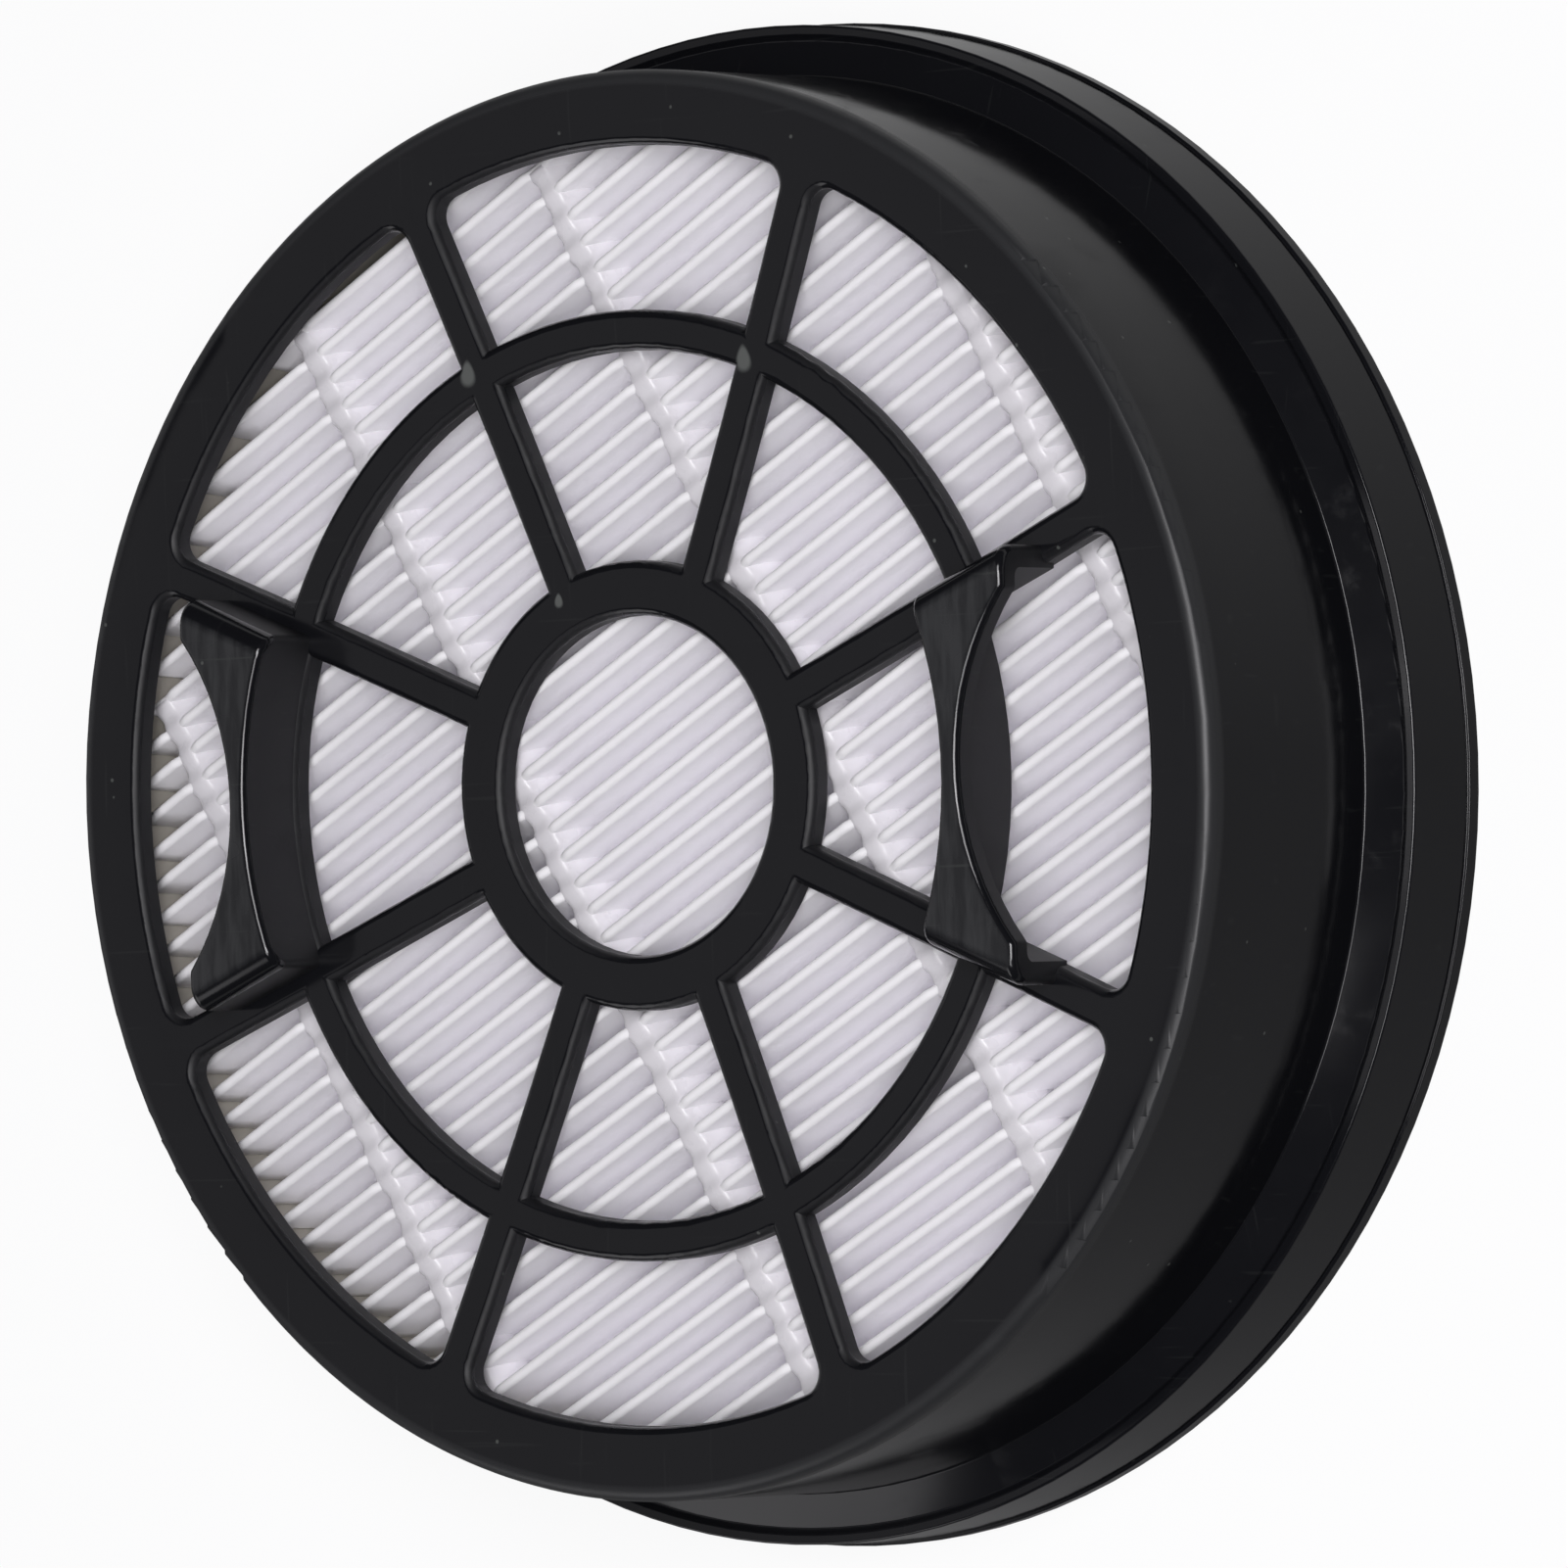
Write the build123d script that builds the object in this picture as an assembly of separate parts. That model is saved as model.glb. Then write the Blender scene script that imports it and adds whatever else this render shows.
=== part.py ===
from build123d import *
import math
import os

# Round vacuum filter: a moulded cup with a front grille, two pull grips and a
# stepped flange, holding a disc of pleated media.
# Millimetres. The back of the flange lies on z = 0, the grille faces +Z and
# the grips stand on the X axis.

# Cup and rim
window_radius = 55.0        # outer edge of the grille's outer windows
rim_width = 6.4             # window edge to the outside of the cup, at the front
rim_round = 1.2             # rounding of the cup's front edge
wall_thickness = 2.0
wall_draft = 1.85           # degrees, the cup widens towards the back
cup_depth = 21.7            # front face to the flange ledge

# Flange
ledge_width = 3.2
ledge_slope = 22.0          # degrees, the ledge falls away from the cup
ledge_rim_width = 1.35      # small raised rim along the outside of the ledge
ledge_rim_rise = 0.5
skirt_height = 7.0          # ledge to back lip
skirt_draft = 3.0           # degrees
back_lip_width = 0.27
back_lip_height = 1.5
lip_round = 0.1             # edges of the back lip's front
flange_round = 0.25         # other edges and corners of the flange

# Grille, a shallow dish
grille_thickness = 2.0
dish_depth = 2.3            # how far the middle lies behind the front face
dish_margin = 2.75          # the flat of the rim starts this far outside the windows
hub_hole_radius = 14.65
hub_width = 4.75
ring_inner_radius = 37.45
ring_width = 3.45
spoke_count = 8
spoke_width = 3.5
window_corner = 1.9         # rounding of the outer windows' corners at the rim
bar_round = 0.8             # rounding of the bars' front edges

# Pull grips
grip_rise = 5.3             # top of the grip above the front face
grip_wall = 1.4
grip_end_wall = 2.1         # walls that stand on the spokes
grip_plate = 2.0
grip_waist = 2.2            # ring's inner edge to the narrowest part of the top plate
grip_tip_reach = 7.35       # ring's inner edge to the tips of the top plate
grip_tip_width = 3.95       # flat end of a tip, before the concave outer edge starts
grip_step = 0.3             # the ring shows this far inside the grip's wall
grip_end_round = 2.2        # top edges over the spokes
grip_edge_round = 0.7       # other outer edges
grip_inside_round = 0.8     # corners of the hollow under the top plate

# Pleated media
sheet_thickness = 0.35
fold_gap = 0.1              # between the two layers of a pleat, at the fold
pleat_pitch = 2.76
pleat_depth = 18.0
pleat_angle = 29.5          # degrees from the X axis to the pleats' run
pleat_shift = 0.0           # distance of the middle fold from the axis
media_clearance = 0.05      # glue beads to the lowest part of the grille

# Glue beads across the pleats
bead_count = 4
bead_margin = 11.4          # outer beads to the edge of the media, on average
bead_shift = 2.5            # middle of the bead pattern, along the pleats' run
bead_width = 2.2
bead_rise = 0.25            # above the folds
bead_reach = 2.6            # down between the folds

# Edge seal
seal_width = 1.6
seal_drop = 0.6             # the seal ends this far behind the folds
bond_gap = 0.1              # between round faces that are glued together

# Radii and heights that follow from the sizes
front_radius = window_radius + rim_width
foot_radius = front_radius + cup_depth * math.tan(math.radians(wall_draft))
ledge_radius = foot_radius + ledge_width
skirt_top_radius = ledge_radius + ledge_rim_width
skirt_foot_radius = skirt_top_radius + skirt_height * math.tan(math.radians(skirt_draft))
lip_radius = skirt_foot_radius + back_lip_width

skirt_top = back_lip_height + skirt_height
ledge_top = skirt_top + ledge_width * math.tan(math.radians(ledge_slope))
face_height = ledge_top + cup_depth
grip_top = face_height + grip_rise

dish_radius = window_radius + dish_margin
hub_radius = hub_hole_radius + hub_width
ring_outer_radius = ring_inner_radius + ring_width
spoke_angle = 360 / spoke_count
half_angle = spoke_angle / 2

grip_turns = [Rot(Z=0), Rot(Z=180)]
grip_inner_radius = ring_inner_radius + grip_step
grip_outer_radius = grip_inner_radius + grip_wall
grip_waist_radius = ring_inner_radius + grip_waist
grip_reach = ring_inner_radius + grip_tip_reach

grille_back = face_height - dish_depth - grille_thickness
fold_top = grille_back - media_clearance - bead_rise
media_back = fold_top - pleat_depth
wall_inner_radius = front_radius - wall_thickness
seal_inner_radius = wall_inner_radius - bond_gap - seal_width
media_radius = seal_inner_radius - bond_gap
bead_spacing = 2 * (media_radius - bead_margin) / (bead_count - 1)

fold_half = sheet_thickness + fold_gap / 2
pleat_lean = (pleat_pitch / 2 - fold_half - fold_gap / 2) / (pleat_depth - sheet_thickness)
pleat_plane = Plane(
    origin=(0, 0, 0),
    x_dir=(-math.sin(math.radians(pleat_angle)), math.cos(math.radians(pleat_angle)), 0),
    z_dir=(math.cos(math.radians(pleat_angle)), math.sin(math.radians(pleat_angle)), 0),
)


def polar(radius, degrees):
    """Point at a distance and an angle from the axis."""
    turn = math.radians(degrees)
    return (radius * math.cos(turn), radius * math.sin(turn))


def dish_height(radius):
    """Front surface of the grille at a distance from the axis."""
    return face_height - dish_depth * (1 - (radius / dish_radius) ** 2)


def dish_arc(lower):
    """Section of the dish, from the axis out to the flat of the rim."""
    middle = dish_radius / 2
    return ThreePointArc(
        (0, 0, dish_height(0) - lower),
        (middle, 0, dish_height(middle) - lower),
        (dish_radius, 0, face_height - lower),
    )


def make_cup():
    """Cup wall, closed front and flange as one solid of revolution."""
    inner_front = face_height - grille_thickness
    step_under = skirt_top - wall_thickness
    # Radius, height and rounding of each corner, from the front face round to the inside.
    corners = [
        (front_radius, face_height, rim_round),
        (foot_radius, ledge_top, flange_round),
        (ledge_radius, skirt_top, flange_round),
        (ledge_radius + ledge_rim_rise, skirt_top + ledge_rim_rise, flange_round),
        (skirt_top_radius, skirt_top + ledge_rim_rise, flange_round),
        (skirt_foot_radius, back_lip_height, lip_round),
        (lip_radius, back_lip_height, lip_round),
        (lip_radius, 0, flange_round),
        (lip_radius - wall_thickness, 0, flange_round),
        (skirt_top_radius - wall_thickness, step_under, flange_round),
        (wall_inner_radius, step_under, flange_round),
        (wall_inner_radius, inner_front, flange_round),
    ]
    rounds = [rounding for radius, height, rounding in corners]
    run = [(dish_radius, 0, face_height)]
    run += [(radius, 0, height) for radius, height, rounding in corners]
    run += [(dish_radius, 0, inner_front)]
    axis_line = Line((0, 0, dish_height(0) - grille_thickness), (0, 0, dish_height(0)))
    outline = dish_arc(0) + FilletPolyline(*run, radius=rounds) + dish_arc(grille_thickness) + axis_line
    return revolve(make_face(outline), Axis.Z)


def sector(radius, inset):
    """Ring between two spokes about +X, from a radius to the windows' edge, inset from the spokes' middle."""
    apex = inset / math.sin(math.radians(half_angle))
    spread = window_radius * math.tan(math.radians(half_angle))
    wedge = Polygon((apex, 0), (apex + window_radius, -spread), (apex + window_radius, spread), align=None)
    return (Circle(window_radius) - Circle(radius)) & wedge


def make_windows():
    """Openings of the grille, seen from the front: hub hole, inner windows and outer windows."""
    arm = Rectangle(front_radius, spoke_width, align=(Align.MIN, Align.CENTER))
    arms = [Rot(Z=half_angle + i * spoke_angle) * arm for i in range(spoke_count)]
    inner = Circle(ring_inner_radius) - Circle(hub_radius) - arms
    beside_grips = [turn * sector(grip_outer_radius, 0) for turn in grip_turns]
    outer = Circle(window_radius) - Circle(ring_outer_radius) + beside_grips - arms
    at_rim = [v for v in outer.vertices() if v.center().length > window_radius - window_corner]
    return [Circle(hub_hole_radius), inner, fillet(at_rim, window_corner)]


def on_dish_front(edge):
    """True for an edge that runs round a window on the front of the grille."""
    middle = edge @ 0.5
    radius = math.hypot(middle.X, middle.Y)
    return radius < dish_radius - dish_margin / 2 and abs(middle.Z - dish_height(radius)) < bar_round / 10


def make_grille():
    """Cup with the windows cut through its front and the bars' front edges rounded."""
    through = face_height - grille_back
    openings = [extrude(Pos(0, 0, grille_back) * plan, amount=through) for plan in make_windows()]
    grille = make_cup() - openings
    return fillet([edge for edge in grille.edges() if on_dish_front(edge)], bar_round)


def make_grip():
    """Hollow pull grip on the +X side: wall on the ring, top plate, two ends on the spokes."""
    base = dish_height(ring_inner_radius) - grille_thickness / 2
    tip = grip_reach * math.tan(math.radians(half_angle))
    scoop_end = tip - grip_tip_width
    start = polar(grip_inner_radius, -half_angle)
    end = polar(grip_inner_radius, half_angle)
    plan = make_face(
        ThreePointArc(start, (grip_inner_radius, 0), end)
        + Polyline(end, (grip_reach, tip), (grip_reach, scoop_end))
        + ThreePointArc((grip_reach, scoop_end), (grip_waist_radius, 0), (grip_reach, -scoop_end))
        + Polyline((grip_reach, -scoop_end), (grip_reach, -tip), start)
    )
    block = extrude(Pos(0, 0, base) * plan, amount=grip_top - base)
    lines = block.faces().sort_by(Axis.Z)[-1].edges().filter_by(GeomType.LINE)
    block = fillet(lines.sort_by(SortBy.LENGTH)[-2:], grip_end_round)

    top = block.faces().filter_by(Plane.XY).sort_by(Axis.Z)[-1]
    tips = block.faces().filter_by(Plane.YZ)
    ends = top.edges().filter_by(GeomType.LINE).sort_by(SortBy.LENGTH)[-2:]
    sharp = [e for e in top.edges() if e not in ends]
    sharp += [e for face in tips for e in face.edges() if e not in sharp and (e @ 0.5).Z > base]
    block = fillet(sharp, grip_edge_round)

    depth = grip_top - grip_plate - grille_back
    hollow = extrude(Pos(0, 0, grille_back) * sector(grip_outer_radius, grip_end_wall), amount=depth)
    hollow = fillet(hollow.faces().sort_by(Axis.Z)[-1].edges(), grip_inside_round)
    return block - hollow


def make_frame():
    """The whole moulding: cup, grille, flange and both grips."""
    grip = make_grip()
    return make_grille() + [turn * grip for turn in grip_turns]


def folds_within(reach):
    """Places of the folds, across the pleats, that lie whole within a distance of the axis."""
    first = math.ceil((fold_half - reach - pleat_shift) / pleat_pitch)
    last = math.floor((reach - fold_half - pleat_shift) / pleat_pitch)
    return [pleat_shift + i * pleat_pitch for i in range(first, last + 1)]


def make_media():
    """Folded sheet, one closed zigzag section cut to a disc."""
    inner = fold_gap / 2
    fold_under = fold_top - sheet_thickness
    valley = media_back + sheet_thickness
    half = pleat_pitch / 2
    folds = folds_within(media_radius)
    front = []
    back = []
    for fold in folds:
        front += [(fold - half + inner, valley), (fold - fold_half, fold_top)]
        front += [(fold + fold_half, fold_top), (fold + half - inner, valley)]
        back += [(fold - half + fold_half, media_back), (fold - inner, fold_under)]
        back += [(fold + inner, fold_under), (fold + half - fold_half, media_back)]
    section = make_face(Polyline(*front, *reversed(back), close=True))
    sheet = extrude(pleat_plane * section, amount=media_radius, both=True)
    disc = Cylinder(media_radius, pleat_depth, align=(Align.CENTER, Align.CENTER, Align.MIN))
    return sheet & Pos(0, 0, media_back) * disc


def make_bead(along):
    """Glue bead across the pleats: a bar over the folds with a tooth between each two of them."""
    edge = abs(along) + bead_width / 2
    folds = folds_within(math.sqrt(media_radius**2 - edge**2))
    low = fold_top - bead_reach
    foot = fold_half + bead_reach * pleat_lean
    run = [(folds[0] - fold_half, fold_top + bead_rise), (folds[0] - fold_half, fold_top)]
    for fold, after in zip(folds, folds[1:]):
        run += [(fold + fold_half, fold_top), (fold + foot, low)]
        run += [(after - foot, low), (after - fold_half, fold_top)]
    run += [(folds[-1] + fold_half, fold_top), (folds[-1] + fold_half, fold_top + bead_rise)]
    section = make_face(Polyline(*run, close=True))
    return extrude(pleat_plane.offset(along) * section, amount=bead_width / 2, both=True)


def make_seal():
    """Ring of adhesive between the edge of the media and the cup."""
    ring = Circle(wall_inner_radius - bond_gap) - Circle(seal_inner_radius)
    return extrude(Pos(0, 0, media_back) * ring, amount=pleat_depth - seal_drop)


nodes = {"frame": make_frame(), "pleated_media": make_media(), "edge_seal": make_seal()}
for i in range(bead_count):
    place = bead_shift + (i - (bead_count - 1) / 2) * bead_spacing
    nodes[f"glue_bead_{i + 1}"] = make_bead(place)

os.makedirs("parts", exist_ok=True)
for name, solid in nodes.items():
    export_step(solid, f"parts/{name}.step")
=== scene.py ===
import math

import bmesh
import bpy
from mathutils import Matrix, Vector


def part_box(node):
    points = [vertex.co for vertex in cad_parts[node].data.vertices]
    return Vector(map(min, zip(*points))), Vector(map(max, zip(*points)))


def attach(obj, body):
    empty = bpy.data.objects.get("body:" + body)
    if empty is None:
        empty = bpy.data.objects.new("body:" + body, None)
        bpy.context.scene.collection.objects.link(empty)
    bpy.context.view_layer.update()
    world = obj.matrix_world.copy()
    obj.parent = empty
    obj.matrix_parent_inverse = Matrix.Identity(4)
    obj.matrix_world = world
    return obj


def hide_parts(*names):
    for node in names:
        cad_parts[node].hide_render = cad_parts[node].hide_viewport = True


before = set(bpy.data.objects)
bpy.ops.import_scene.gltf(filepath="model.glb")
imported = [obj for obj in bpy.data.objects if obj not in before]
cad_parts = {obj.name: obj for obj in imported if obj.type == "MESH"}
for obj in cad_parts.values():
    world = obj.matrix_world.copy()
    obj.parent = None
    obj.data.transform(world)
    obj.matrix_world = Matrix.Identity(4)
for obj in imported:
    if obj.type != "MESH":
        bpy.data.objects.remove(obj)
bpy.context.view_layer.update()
MM = 0.001

# Sizes of the moulded cup
window_radius = 55.0 * MM
dish_radius = 57.75 * MM
dish_depth = 2.3 * MM
rim_radius = 61.4 * MM
face_height = 31.493 * MM
worn_height = face_height + 3.9 * MM
worn_fade = 0.9 * MM
weld_distance = 0.001 * MM
sharp_angle = math.radians(32)

# Painted highlights on the grille: pale drops painted where lamps glint in small dimples, each with its
# place and its share of the full size
glint_places = [(-16.1 * MM, 36.5 * MM, 1), (14.0 * MM, 35.8 * MM, 1), (-7.5 * MM, 16.3 * MM, 0.55)]
glint_half_width = 0.9 * MM
glint_half_length = 1.35 * MM
glint_taper = 0.45
glint_core = 0.55

# Sizes of the pleated media
pleat_angle = math.radians(29.5)
pleat_pitch = 2.76 * MM
outer_pleat = 20
sheet_thickness = 0.25 * MM
fold_half = 0.46 * MM
crest_angles = [90, 60, 30, 0, -30, -60, -90]
root_angles = [-90, 0, 90]
wall_shares = [0.12, 0.35]
station_spacing = 2.6 * MM
cut_margin = 0.1 * MM

# Unevenness of the folds: waves with size, length and turn per fold, and a shift of each whole fold
fold_wander = 0.06 * MM
fold_height_play = 0.12 * MM
fold_waves = [(0.45, 13.1 * MM, 1.7), (0.25, 21.7 * MM, 4.9)]
fold_shift = (0.3, 2.39, 0.9)
height_seed = 31

# Dips of the folds beside the glue lines
fold_dip = 0.38 * MM
dip_power = 6
dip_core = 0.6 * MM
dip_reach = 1.7 * MM
dip_spacing = 0.36 * MM
dip_steps = 6
dip_zone = 2.4 * MM

# Sizes of the glue lines, with a half outline of width share, flare and drop in millimetres
bead_places = [-43.9 * MM, -12.8 * MM, 17.2 * MM, 48.9 * MM]
bead_half_width = 1.00 * MM
bead_neck = 0.90 * MM
bead_level = 0.32 * MM
bead_sag = 0.34 * MM
bead_end_gap = 0.4 * MM
bead_steps = 8
bead_profile = [(0.5, 0, 0.02), (0.85, 0, 0.09), (1, 0.10, 0.25), (1, 0.30, 0.6),
                (1, 0.60, 1.2), (1, 1.0, 2.2), (1, 1.3, 3.4), (1, 1.5, 5.0)]

# Unevenness of the glue lines: waves with size, turn and start
bead_seeds = (7, 0.8)
bead_waves = [(0.10, 1.9, 0), (0.06, 4.3, 1)]
bead_sway = (0.16 * MM, 2.7, 2)

media_low, media_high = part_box("pleated_media")
media_radius = (media_high.x - media_low.x) / 2
media_top = media_high.z
media_back = media_low.z
fold_bend = fold_half - sheet_thickness / 2
crest_level = media_top - fold_half
root_level = media_back + fold_half
along = Vector((math.cos(pleat_angle), math.sin(pleat_angle), 0))
across = Vector((-math.sin(pleat_angle), math.cos(pleat_angle), 0))


def smooth_step(low, high, value):
    share = min(1, max(0, (value - low) / (high - low)))
    return share * share * (3 - 2 * share)


def wave(seed, size, turn, start):
    return size * math.sin(turn * seed + start)


def ripple(seed, place):
    """A slow wave between -1 and 1 along a fold, different for each seed."""
    slow = sum(size * math.sin(place / length + turn * seed) for size, length, turn in fold_waves)
    return slow + wave(seed, *fold_shift)


def from_bead(place):
    """Distance along the folds to the nearest glue line."""
    return min(abs(place - bead) for bead in bead_places)


def dip_at(place):
    """How far a fold is pressed down beside a glue line, from 0 to 1."""
    return 1 - smooth_step(dip_core, dip_reach, from_bead(place))


def chord_half(offset):
    """Half the length of the round pack at an offset from its axis."""
    return math.sqrt(max(0, media_radius ** 2 - offset ** 2))


def new_piece(name, mesh_data, material):
    mesh = bpy.data.meshes.new(name)
    mesh_data.to_mesh(mesh)
    mesh_data.free()
    mesh.shade_smooth()
    mesh.materials.append(material)
    piece = bpy.data.objects.new(name, mesh)
    bpy.context.scene.collection.objects.link(piece)
    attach(piece, "root")
    return piece


def colour(red, green, blue):
    return (red, green, blue, 1.0)


# Colours
black_shades = (colour(0.0056, 0.0058, 0.0072), colour(0.0078, 0.0081, 0.0098))
worn_colour = colour(0.034, 0.035, 0.037)
scratch_colour = colour(0.040, 0.043, 0.042)
# Lighter grey along the rim's rounded edge: partly wear, partly a painted highlight
rim_highlight_colour = colour(0.026, 0.0268, 0.0285)
# Pale grey of the painted highlights on the grille
painted_glint_colour = colour(0.13, 0.138, 0.132)
dust_colour = colour(0.14, 0.15, 0.14)
sheet_shades = (colour(0.960, 0.952, 0.972), colour(0.979, 0.974, 0.988))
glue_shades = (colour(0.74, 0.725, 0.755), colour(0.80, 0.785, 0.815))
seal_shades = (colour(0.34, 0.32, 0.28), colour(0.44, 0.42, 0.37))
floor_colour = colour(0.10, 0.10, 0.104)
world_colour = colour(0.02, 0.02, 0.022)
polymer_ior = 1.48

# What each kind of wear, and the painted highlights, add to the plastic's colour and roughness
painted_glint_strength = 0.8
dust_strength = 0.5
rubbed_roughness = 0.08
worn_roughness = 0.14
edge_roughness = 0.25
dull_roughness = 0.40


# Materials
class Shader:
    """A node material with short ways to add and join nodes."""

    def __init__(self, name):
        self.material = bpy.data.materials.new(name)
        self.material.use_nodes = True
        self.nodes = self.material.node_tree.nodes
        self.links = self.material.node_tree.links
        self.surface = self.nodes["Principled BSDF"]
        coordinates = self.nodes.new("ShaderNodeTexCoord")
        self.place = coordinates.outputs["Object"]
        self.normal = coordinates.outputs["Normal"]

    def join(self, source, target):
        if isinstance(source, bpy.types.NodeSocket):
            self.links.new(source, target)
        else:
            target.default_value = source

    def stretched(self, scale, turn):
        """The place, scaled and turned about Z."""
        mapping = self.nodes.new("ShaderNodeMapping")
        mapping.inputs["Scale"].default_value = scale
        mapping.inputs["Rotation"].default_value = (0, 0, turn)
        self.join(self.place, mapping.inputs["Vector"])
        return mapping.outputs["Vector"]

    def noise(self, scale, detail, roughness=0.5, where=None):
        noise = self.nodes.new("ShaderNodeTexNoise")
        noise.inputs["Scale"].default_value = scale
        noise.inputs["Detail"].default_value = detail
        noise.inputs["Roughness"].default_value = roughness
        self.join(where or self.place, noise.inputs["Vector"])
        return noise.outputs["Fac"]

    def cells(self, scale):
        cells = self.nodes.new("ShaderNodeTexVoronoi")
        cells.inputs["Scale"].default_value = scale
        self.join(self.place, cells.inputs["Vector"])
        return cells.outputs["Distance"]

    def remap(self, value, low, high, to_low, to_high, curve="SMOOTHSTEP"):
        remap = self.nodes.new("ShaderNodeMapRange")
        remap.interpolation_type = curve
        settings = {"From Min": low, "From Max": high, "To Min": to_low, "To Max": to_high}
        for name, setting in settings.items():
            remap.inputs[name].default_value = setting
        self.join(value, remap.inputs["Value"])
        return remap.outputs["Result"]

    def rise(self, value, low, high):
        """0 up to low, 1 from high on, and smooth between."""
        return self.remap(value, low, high, 0, 1)

    def fall(self, value, low, high):
        """1 up to low, 0 from high on, and smooth between."""
        return self.remap(value, low, high, 1, 0)

    def math(self, operation, first, second):
        node = self.nodes.new("ShaderNodeMath")
        node.operation = operation
        self.join(first, node.inputs[0])
        self.join(second, node.inputs[1])
        return node.outputs["Value"]

    def product(self, result, *others):
        for other in others:
            result = self.math("MULTIPLY", result, other)
        return result

    def blend(self, share, first, second):
        mix = self.nodes.new("ShaderNodeMix")
        mix.data_type = "RGBA"
        self.join(share, mix.inputs["Factor"])
        self.join(first, mix.inputs["A"])
        self.join(second, mix.inputs["B"])
        return mix.outputs["Result"]

    def far(self, first, second):
        """How far a point lies from the origin of two coordinates."""
        pair = self.nodes.new("ShaderNodeCombineXYZ")
        self.join(first, pair.inputs["X"])
        self.join(second, pair.inputs["Y"])
        length = self.nodes.new("ShaderNodeVectorMath")
        length.operation = "LENGTH"
        self.join(pair.outputs["Vector"], length.inputs[0])
        return length.outputs["Value"]

    def split(self, vector):
        split = self.nodes.new("ShaderNodeSeparateXYZ")
        self.join(vector, split.inputs["Vector"])
        return split.outputs

    def bump(self, height, distance, strength):
        bump = self.nodes.new("ShaderNodeBump")
        bump.inputs["Distance"].default_value = distance
        bump.inputs["Strength"].default_value = strength
        self.join(height, bump.inputs["Height"])
        return bump.outputs["Normal"]

    def set(self, **settings):
        for name, value in settings.items():
            self.join(value, self.surface.inputs[name.replace("_", " ")])


def painted_glints(shader, place, facing):
    """Painted highlights: flat pale drops on the grille, narrower at the top, standing in for lamps
    glinting in small dimples.
    """
    glinted = 0
    for glint_x, glint_y, size in glint_places:
        up = shader.math("SUBTRACT", place["Y"], glint_y)
        up = shader.math("DIVIDE", up, size * glint_half_length)
        aside = shader.math("SUBTRACT", place["X"], glint_x)
        aside = shader.math("DIVIDE", aside, size * glint_half_width)
        narrowing = shader.math("SUBTRACT", 1, shader.product(up, glint_taper))
        aside = shader.math("DIVIDE", aside, narrowing)
        glint = shader.fall(shader.far(aside, up), glint_core, 1)
        glinted = shader.math("MAXIMUM", glinted, glint)
    return shader.product(glinted, shader.rise(facing, 0.8, 0.95))


def fine_scratches(shader):
    """Two sets of long thin lines that cross at a slant."""
    first = shader.noise(1, 1, 0.5, shader.stretched((2600, 60, 400), 0.6))
    second = shader.noise(1, 1, 0.5, shader.stretched((70, 2400, 400), -0.35))
    return shader.rise(shader.math("MAXIMUM", first, second), 0.70, 0.78)


def dust_specks(shader):
    """Small round specks, only where a slower noise is high."""
    speck = shader.fall(shader.cells(420), 0.05, 0.09)
    few = shader.rise(shader.noise(210, 1), 0.60, 0.64)
    return shader.product(speck, few)


def worn_tops(shader, height, facing):
    """The flat tops of the two grips."""
    high = shader.rise(height, worn_height, worn_height + worn_fade)
    return shader.product(high, shader.rise(facing, 0.90, 0.985))


def rim_highlight_band(shader, height, reach):
    """The rounded outer edge of the front, painted lighter: partly wear and partly a painted highlight
    along the rim.
    """
    outer = shader.rise(reach, rim_radius - 1.5 * MM, rim_radius - 0.9 * MM)
    upper = shader.rise(height, face_height - 2.2 * MM, face_height - 1.4 * MM)
    return shader.product(outer, upper)


def dull_edges(shader, height, reach, normal):
    """The side faces of the grille's bars, and their rounded edges that face right."""
    facing = normal["Z"]
    low = shader.fall(height, face_height - 0.35 * MM, face_height - 0.15 * MM)
    tilted = shader.product(shader.rise(facing, 0.1, 0.3), shader.fall(facing, 0.93, 0.995))
    rightward = shader.rise(normal["X"], -0.05, 0.2)
    rounded = shader.product(low, tilted, rightward)
    side = shader.fall(facing, 0.05, 0.2)
    inside = shader.fall(reach, dish_radius - 1.0 * MM, dish_radius)
    return shader.product(inside, shader.math("MAXIMUM", rounded, side))


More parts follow.
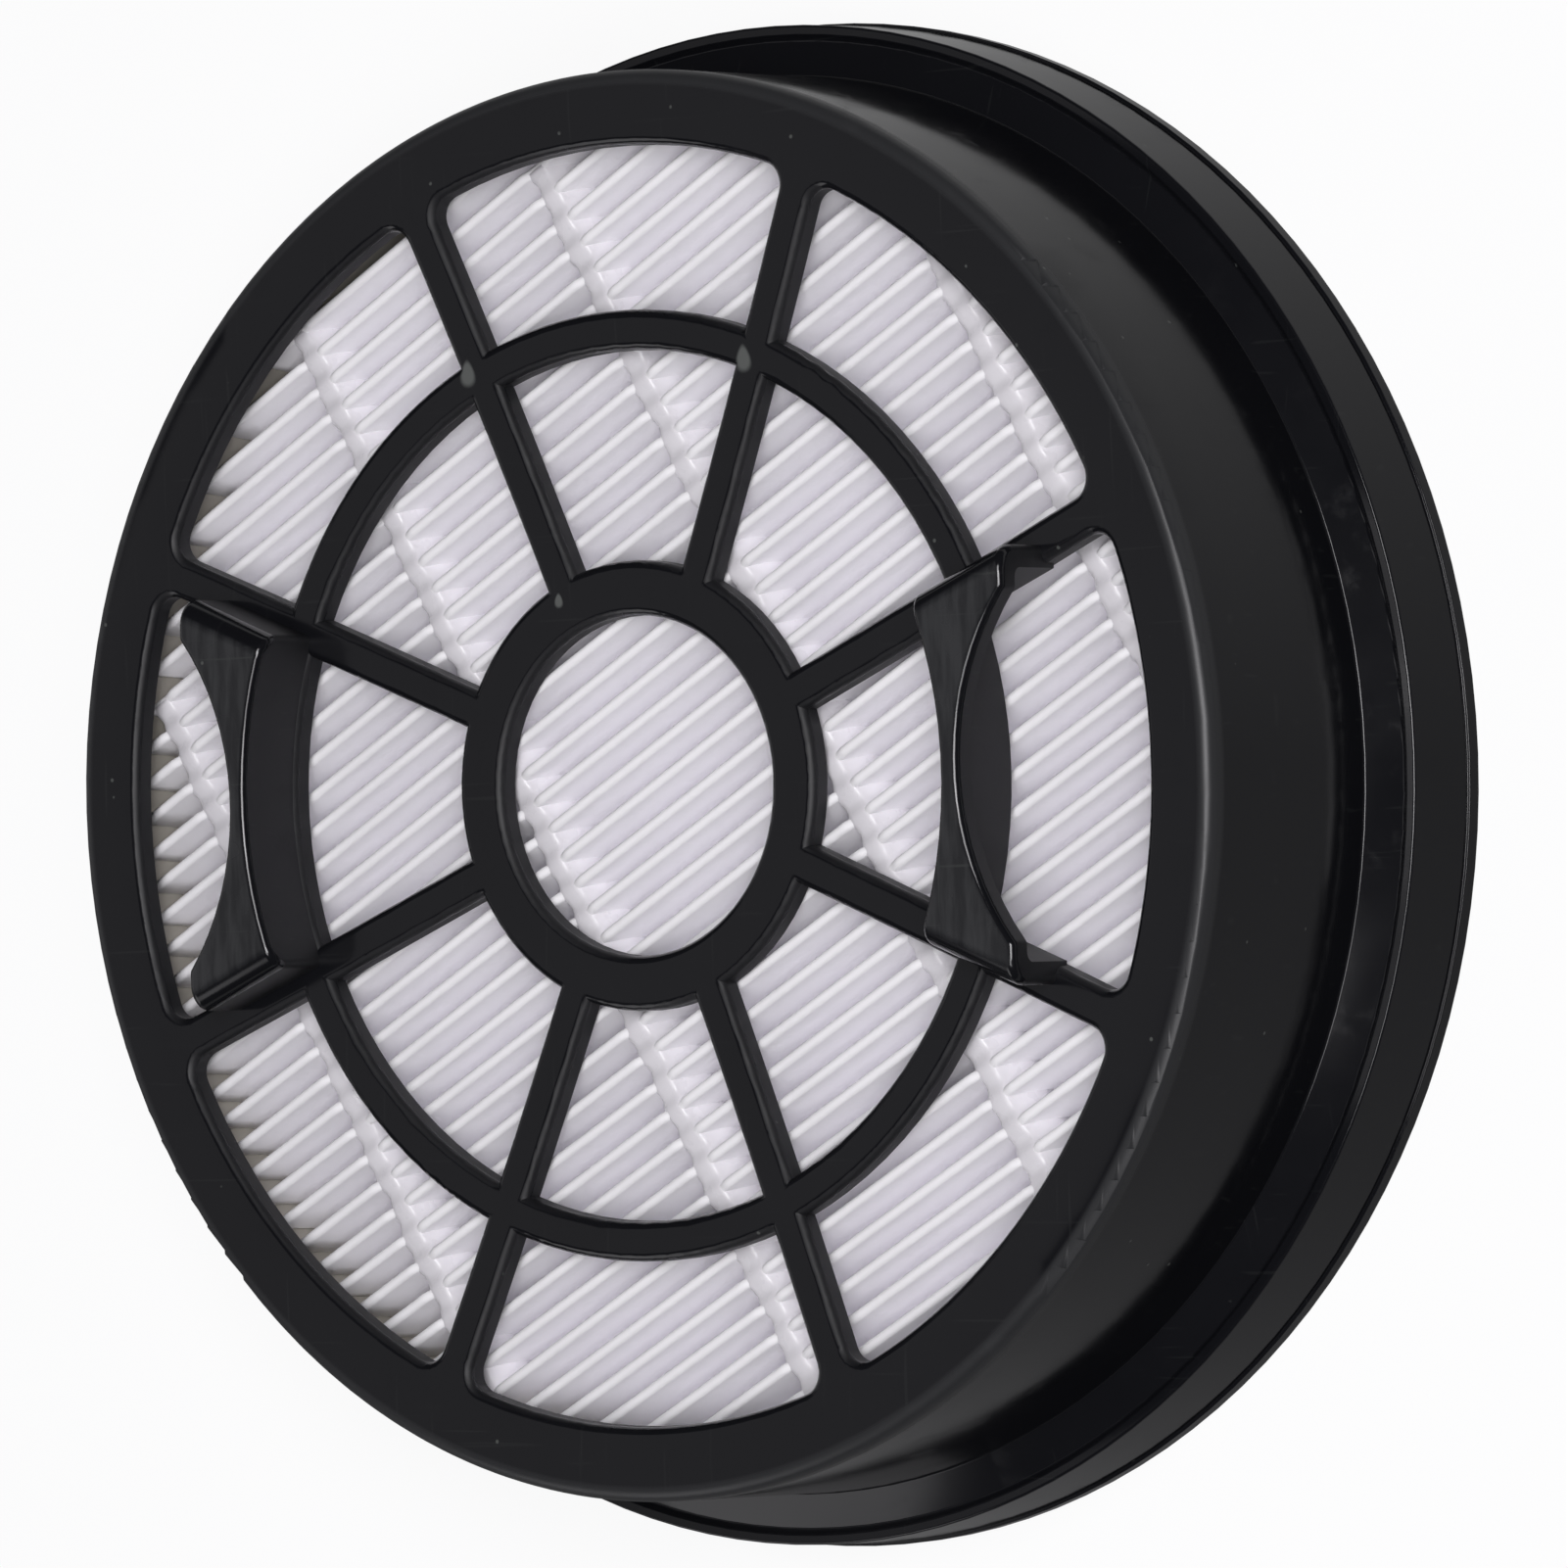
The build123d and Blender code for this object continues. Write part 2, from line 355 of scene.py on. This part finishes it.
def make_plastic():
    """Glossy black moulding with dull edges, worn grips, painted highlights on the grille, a band along the
    rim's rounded edge that is partly wear and partly a painted highlight, rub marks, scratches and dust.
    """
    shader = Shader("black_moulded_plastic")
    normal = shader.split(shader.normal)
    place = shader.split(shader.place)
    height = place["Z"]
    reach = shader.far(place["X"], place["Y"])
    # Painted highlights: pale drops where lamps glint in small dimples on the grille
    glinted = painted_glints(shader, place, normal["Z"])
    worn = worn_tops(shader, height, normal["Z"])
    # A lighter band on the rim's rounded edge: partly wear, partly a painted highlight
    edge = rim_highlight_band(shader, height, reach)
    dull = dull_edges(shader, height, reach, normal)
    cloud = shader.noise(70, 3, 0.6)
    rubbed = shader.rise(shader.noise(170, 4, 0.65), 0.55, 0.72)
    brushed = shader.noise(1, 3, 0.6, shader.stretched((900, 130, 300), 0.12))
    brushed = shader.remap(brushed, 0.35, 0.68, 0.35, 1)
    layers = [
        (shader.product(worn, brushed), worn_colour),
        (shader.product(fine_scratches(shader), shader.remap(worn, 0, 1, 0.14, 0.60)), scratch_colour),
        (edge, rim_highlight_colour),
        (shader.product(glinted, painted_glint_strength), painted_glint_colour),
        (shader.product(dust_specks(shader), dust_strength), dust_colour),
    ]
    base = shader.blend(cloud, *black_shades)
    for share, layer_colour in layers:
        base = shader.blend(share, base, layer_colour)
    added = [
        (rubbed, rubbed_roughness),
        (worn, worn_roughness),
        (edge, edge_roughness),
        (dull, dull_roughness),
    ]
    rough = shader.remap(cloud, 0.3, 0.7, 0.11, 0.16)
    for share, roughness in added:
        rough = shader.math("ADD", rough, shader.product(share, roughness))
    relief = shader.bump(shader.noise(60, 1), 0.04 * MM, 0.8)
    shader.set(Base_Color=base, Roughness=rough, Normal=relief, IOR=polymer_ior)
    return shader.material


def make_nonwoven():
    """White pressed-fibre sheet with a faint lavender cast."""
    shader = Shader("white_nonwoven")
    fibres = shader.noise(1, 2, 0.6, shader.stretched((3200, 900, 900), 0.9))
    base = shader.blend(fibres, *sheet_shades)
    relief = shader.bump(fibres, 0.03 * MM, 0.5)
    shader.set(Base_Color=base, Normal=relief, Roughness=0.92, Specular_IOR_Level=0.15)
    return shader.material


def make_adhesive(name, shades, cloud_scale, roughness, wave_scale, wave_depth):
    """Smooth cloudy adhesive with a slightly wavy surface."""
    shader = Shader(name)
    cloud = shader.noise(cloud_scale, 3, 0.55)
    base = shader.blend(cloud, *shades)
    rough = shader.remap(cloud, 0.3, 0.7, *roughness)
    relief = shader.bump(shader.noise(wave_scale, 2), wave_depth, 0.5)
    shader.set(Base_Color=base, Roughness=rough, Normal=relief, IOR=polymer_ior)
    return shader.material


plastic = make_plastic()
nonwoven = make_nonwoven()
glue = make_adhesive("milky_glue", glue_shades, 380, (0.22, 0.42), 520, 0.08 * MM)
seal = make_adhesive("potting_adhesive", seal_shades, 120, (0.30, 0.50), 180, 0.25 * MM)


# Pleated media
def bend_points(fold, middle, level, side, angles):
    """Points of the sheet's middle line round a fold, with side 1 at a crest and -1 at a root."""
    points = []
    for angle in angles:
        turn = math.radians(angle)
        normal = (-math.sin(turn), math.cos(turn))
        offset = middle + side * fold_bend * normal[0]
        points.append((fold, offset, level + side * fold_bend * normal[1], normal))
    return points


def wall_points(fold, top, foot, side, shares):
    """Points of the middle line on a wall, with side 1 left of a valley and -1 right of it."""
    height = crest_level - root_level
    run = foot - top
    normal = tuple(Vector((side * height, side * run)).normalized())
    return [(fold, top + share * run, crest_level - share * height, normal) for share in shares]


def fold_path():
    """The middle line of the folded sheet across the pack: fold, offset, level and normal of each point."""
    path = []
    for pleat in range(-outer_pleat, outer_pleat + 1):
        ridge = pleat * pleat_pitch
        valley = ridge + pleat_pitch / 2
        following = ridge + pleat_pitch
        path += bend_points(pleat, ridge, crest_level, 1, crest_angles)
        if pleat < outer_pleat:
            path += wall_points(pleat + 0.25, ridge + fold_bend, valley - fold_bend, 1, wall_shares)
            path += bend_points(pleat + 0.5, valley, root_level, -1, root_angles)
            upward = wall_shares[::-1]
            path += wall_points(pleat + 0.75, following - fold_bend, valley + fold_bend, -1, upward)
    return path


def fold_stations():
    """Places along the folds where the sheet has a row of points, closer together beside the glue lines."""
    count = int(2 * media_radius / station_spacing)
    even = [-media_radius + (step + 0.5) * 2 * media_radius / count for step in range(count)]
    stations = [place for place in even if from_bead(place) > dip_zone]
    for bead in bead_places:
        stations += [bead + step * dip_spacing for step in range(-dip_steps, dip_steps + 1)]
    return [-media_radius] + sorted(stations) + [media_radius]


def sheet_point(path_point, side, place):
    """A point on the front (side 1) or back (side -1) of the sheet, with the folds' unevenness."""
    fold, offset, level, normal = path_point
    seed = round(fold)
    share = (level - media_back) / (media_top - media_back)
    level += side * normal[1] * sheet_thickness / 2
    wander = fold_wander * share * ripple(seed, place)
    play = fold_height_play * share * (0.5 + 0.5 * ripple(seed + height_seed, place))
    pressed = fold_dip * share ** dip_power * dip_at(place)
    offset += side * normal[0] * sheet_thickness / 2 + wander
    return along * place + across * offset + Vector((0, 0, level - play - pressed))


def sheet_row(sheet, path_point, side, stations):
    """The points of one row, where all stations past the round cut share the row's end point."""
    reach = chord_half(path_point[1])
    first = sheet.verts.new(sheet_point(path_point, side, -reach))
    last = sheet.verts.new(sheet_point(path_point, side, reach))
    row = []
    for place in stations:
        if place < cut_margin - reach:
            row.append(first)
        elif place > reach - cut_margin:
            row.append(last)
        else:
            row.append(sheet.verts.new(sheet_point(path_point, side, place)))
    return row


def add_face(sheet, corners):
    """Adds a face, leaving out repeated corners, and none where fewer than three are left."""
    kept = [corner for step, corner in enumerate(corners) if corner is not corners[step - 1]]
    if len(kept) > 2:
        sheet.faces.new(kept)


def make_media():
    path = fold_path()
    stations = fold_stations()
    sheet = bmesh.new()
    sides = {}
    for side in (1, -1):
        sides[side] = [sheet_row(sheet, point, side, stations) for point in path]
    for side, rows in sides.items():
        for near, far in zip(rows, rows[1:]):
            for step in range(len(stations) - 1):
                corners = [near[step], near[step + 1], far[step + 1], far[step]]
                add_face(sheet, corners if side == 1 else corners[::-1])
    front, back = sides[1], sides[-1]
    for step in range(len(stations) - 1):
        add_face(sheet, [front[0][step], back[0][step], back[0][step + 1], front[0][step + 1]])
        add_face(sheet, [front[-1][step + 1], back[-1][step + 1], back[-1][step], front[-1][step]])
    for row in range(len(path) - 1):
        sheet.faces.new([front[row + 1][0], back[row + 1][0], back[row][0], front[row][0]])
        sheet.faces.new([front[row][-1], back[row][-1], back[row + 1][-1], front[row + 1][-1]])
    bmesh.ops.recalc_face_normals(sheet, faces=sheet.faces)
    piece = new_piece("pleated_sheet", sheet, nonwoven)
    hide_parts("pleated_media")


# Glue lines
def bead_section(bead, offset):
    """One closed outline of a glue line, across its width, at an offset along it."""
    ridge_share = 0.5 + 0.5 * math.cos(2 * math.pi * offset / pleat_pitch)
    seed = bead_seeds[0] * bead / MM + bead_seeds[1] * offset / pleat_pitch
    uneven = sum(wave(seed, *settings) for settings in bead_waves)
    half = (bead_neck + (bead_half_width - bead_neck) * ridge_share) * (1 + uneven)
    top = media_top - bead_level - bead_sag * (1 - ridge_share) * (1 + uneven)
    middle = bead + wave(seed, *bead_sway)
    right = [(share * half + flare * MM, top - drop * MM) for share, flare, drop in bead_profile]
    left = [(-reach, level) for reach, level in reversed(right)]
    outline = [(0, top)] + right + [(0, right[-1][1])] + left
    return [(middle + reach, level) for reach, level in outline]


def make_bead(number, bead):
    """A glue line over the crests that lie whole within the round pack."""
    outer = math.floor((chord_half(bead) - bead_end_gap) / pleat_pitch)
    line = bmesh.new()
    rings = []
    for step in range(-outer * bead_steps, outer * bead_steps + 1):
        offset = step / bead_steps * pleat_pitch
        outline = bead_section(bead, offset)
        rings.append([line.verts.new(along * place + across * offset + Vector((0, 0, level)))
                      for place, level in outline])
    for near, far in zip(rings, rings[1:]):
        for corner in range(len(near)):
            following = (corner + 1) % len(near)
            line.faces.new([near[corner], near[following], far[following], far[corner]])
    line.faces.new(rings[0])
    line.faces.new(rings[-1])
    bmesh.ops.recalc_face_normals(line, faces=line.faces)
    piece = new_piece(f"glue_line_{number}", line, glue)
    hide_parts(f"glue_bead_{number}")


make_media()
for bead_number, bead_place in enumerate(bead_places, 1):
    make_bead(bead_number, bead_place)


# Finish of the moulded cup and the adhesive ring
def dress(node, material):
    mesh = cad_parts[node].data
    mesh.materials.clear()
    mesh.materials.append(material)


def smooth_normals(node):
    """Joins the mesh's patches and shades its rounded edges evenly."""
    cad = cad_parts[node]
    cad.data.shade_smooth()
    weld = cad.modifiers.new("weld", "WELD")
    weld.merge_threshold = weld_distance
    parting = cad.modifiers.new("sharp_edges", "EDGE_SPLIT")
    parting.split_angle = sharp_angle
    parting.use_edge_sharp = False
    even = cad.modifiers.new("even_normals", "WEIGHTED_NORMAL")
    even.keep_sharp = True


smooth_normals("frame")
dress("frame", plastic)
dress("edge_seal", seal)


# Floor, a hair below the base
floor_level = -0.02 * MM
floor_half = 3.0
floor_glow = 0.90
# The floor's glow to mirrored rays rises along Y: a painted reflection, brighter towards +Y, in the cup's
# glossy walls
painted_reflection_depth = 80 * MM
painted_reflection_shares = (0.13, 0.38)


def make_paper():
    """Matt surface that glows to the camera, and by a share that rises along Y to mirrored rays: a painted
    reflection, brighter towards +Y, in the cup's glossy walls.
    """
    shader = Shader("pale_floor")
    shader.set(Base_Color=floor_colour, Roughness=1.0, Specular_IOR_Level=0.0)
    path = shader.nodes.new("ShaderNodeLightPath").outputs
    mirrored = shader.math("MAXIMUM", path["Is Glossy Ray"], path["Is Transmission Ray"])
    share = shader.remap(shader.split(shader.place)["Y"], 0, painted_reflection_depth, *painted_reflection_shares, "LINEAR")
    seen = shader.math("ADD", shader.product(mirrored, share), path["Is Camera Ray"])
    glow = shader.nodes.new("ShaderNodeEmission")
    shader.join(shader.product(seen, floor_glow), glow.inputs["Strength"])
    both = shader.nodes.new("ShaderNodeAddShader")
    shader.join(shader.surface.outputs["BSDF"], both.inputs[0])
    shader.join(glow.outputs["Emission"], both.inputs[1])
    shader.join(both.outputs["Shader"], shader.nodes["Material Output"].inputs["Surface"])
    return shader.material


def make_floor():
    mesh = bpy.data.meshes.new("floor")
    signs = [(-1, -1), (1, -1), (1, 1), (-1, 1)]
    mesh.from_pydata([(x * floor_half, y * floor_half, 0) for x, y in signs], [], [(0, 1, 2, 3)])
    mesh.materials.append(make_paper())
    floor = bpy.data.objects.new("floor", mesh)
    floor.location.z = floor_level
    bpy.context.scene.collection.objects.link(floor)


make_floor()


# Camera
camera_tilt = math.radians(37.04)
camera_roll = math.radians(2.357)
camera_nod = math.radians(0.1585)
camera_distance = 754.4 * MM
camera_shift = (14.10 * MM, 0.14 * MM)
camera_lens = 201.96
camera_sensor = 36


def make_camera():
    """Looks at the middle of the plane that the windows' outer arcs lie in."""
    data = bpy.data.cameras.new("photo_camera")
    data.sensor_width = camera_sensor
    data.lens = camera_lens
    camera = bpy.data.objects.new("photo_camera", data)
    bpy.context.scene.collection.objects.link(camera)
    sunk = dish_depth * (1 - (window_radius / dish_radius) ** 2)
    centre = Matrix.Translation((0, 0, face_height - sunk))
    turn = Matrix.Rotation(-camera_roll, 4, "Z") @ Matrix.Rotation(camera_tilt, 4, "Y")
    turn = turn @ Matrix.Rotation(-camera_nod, 4, "X")
    camera.matrix_world = centre @ turn @ Matrix.Translation((*camera_shift, camera_distance))
    bpy.context.scene.camera = camera


make_camera()


# Light, with each softbox's azimuth, elevation, width and power
lamp_distance = 1.1
lamp_colour = (0.99, 0.975, 1.0)
light_bounces = 16
lamps = {
    "key_box": (0, 55, 0.44, 5.0),
    "right_box": (322, 60, 0.40, 2.2),
    "top_box": (28, 58, 0.40, 3.1),
    "far_box": (180, 20, 0.62, 0.4),
    "mirror_box": (180, 53, 0.62, 0.25),
    "left_box": (232, 24, 0.62, 1.15),
}


def make_softbox(name, azimuth, elevation, width, power):
    """A round softbox that faces the object from a direction, in degrees."""
    data = bpy.data.lights.new(name, "AREA")
    data.shape = "DISK"
    data.size = width
    data.energy = power
    data.color = lamp_colour
    lamp = bpy.data.objects.new(name, data)
    turn, rise = math.radians(azimuth), math.radians(elevation)
    place = Vector((math.cos(rise) * math.cos(turn), math.cos(rise) * math.sin(turn), math.sin(rise)))
    lamp.location = place * lamp_distance
    lamp.rotation_euler = place.to_track_quat("Z", "Y").to_euler()
    bpy.context.scene.collection.objects.link(lamp)


for lamp_name, lamp_settings in lamps.items():
    make_softbox(lamp_name, *lamp_settings)

world = bpy.data.worlds.new("studio")
world.use_nodes = True
world.node_tree.nodes["Background"].inputs["Color"].default_value = world_colour
bpy.context.scene.world = world
bpy.context.scene.view_settings.view_transform = "Standard"
bpy.context.scene.cycles.max_bounces = light_bounces
bpy.context.scene.cycles.diffuse_bounces = light_bounces
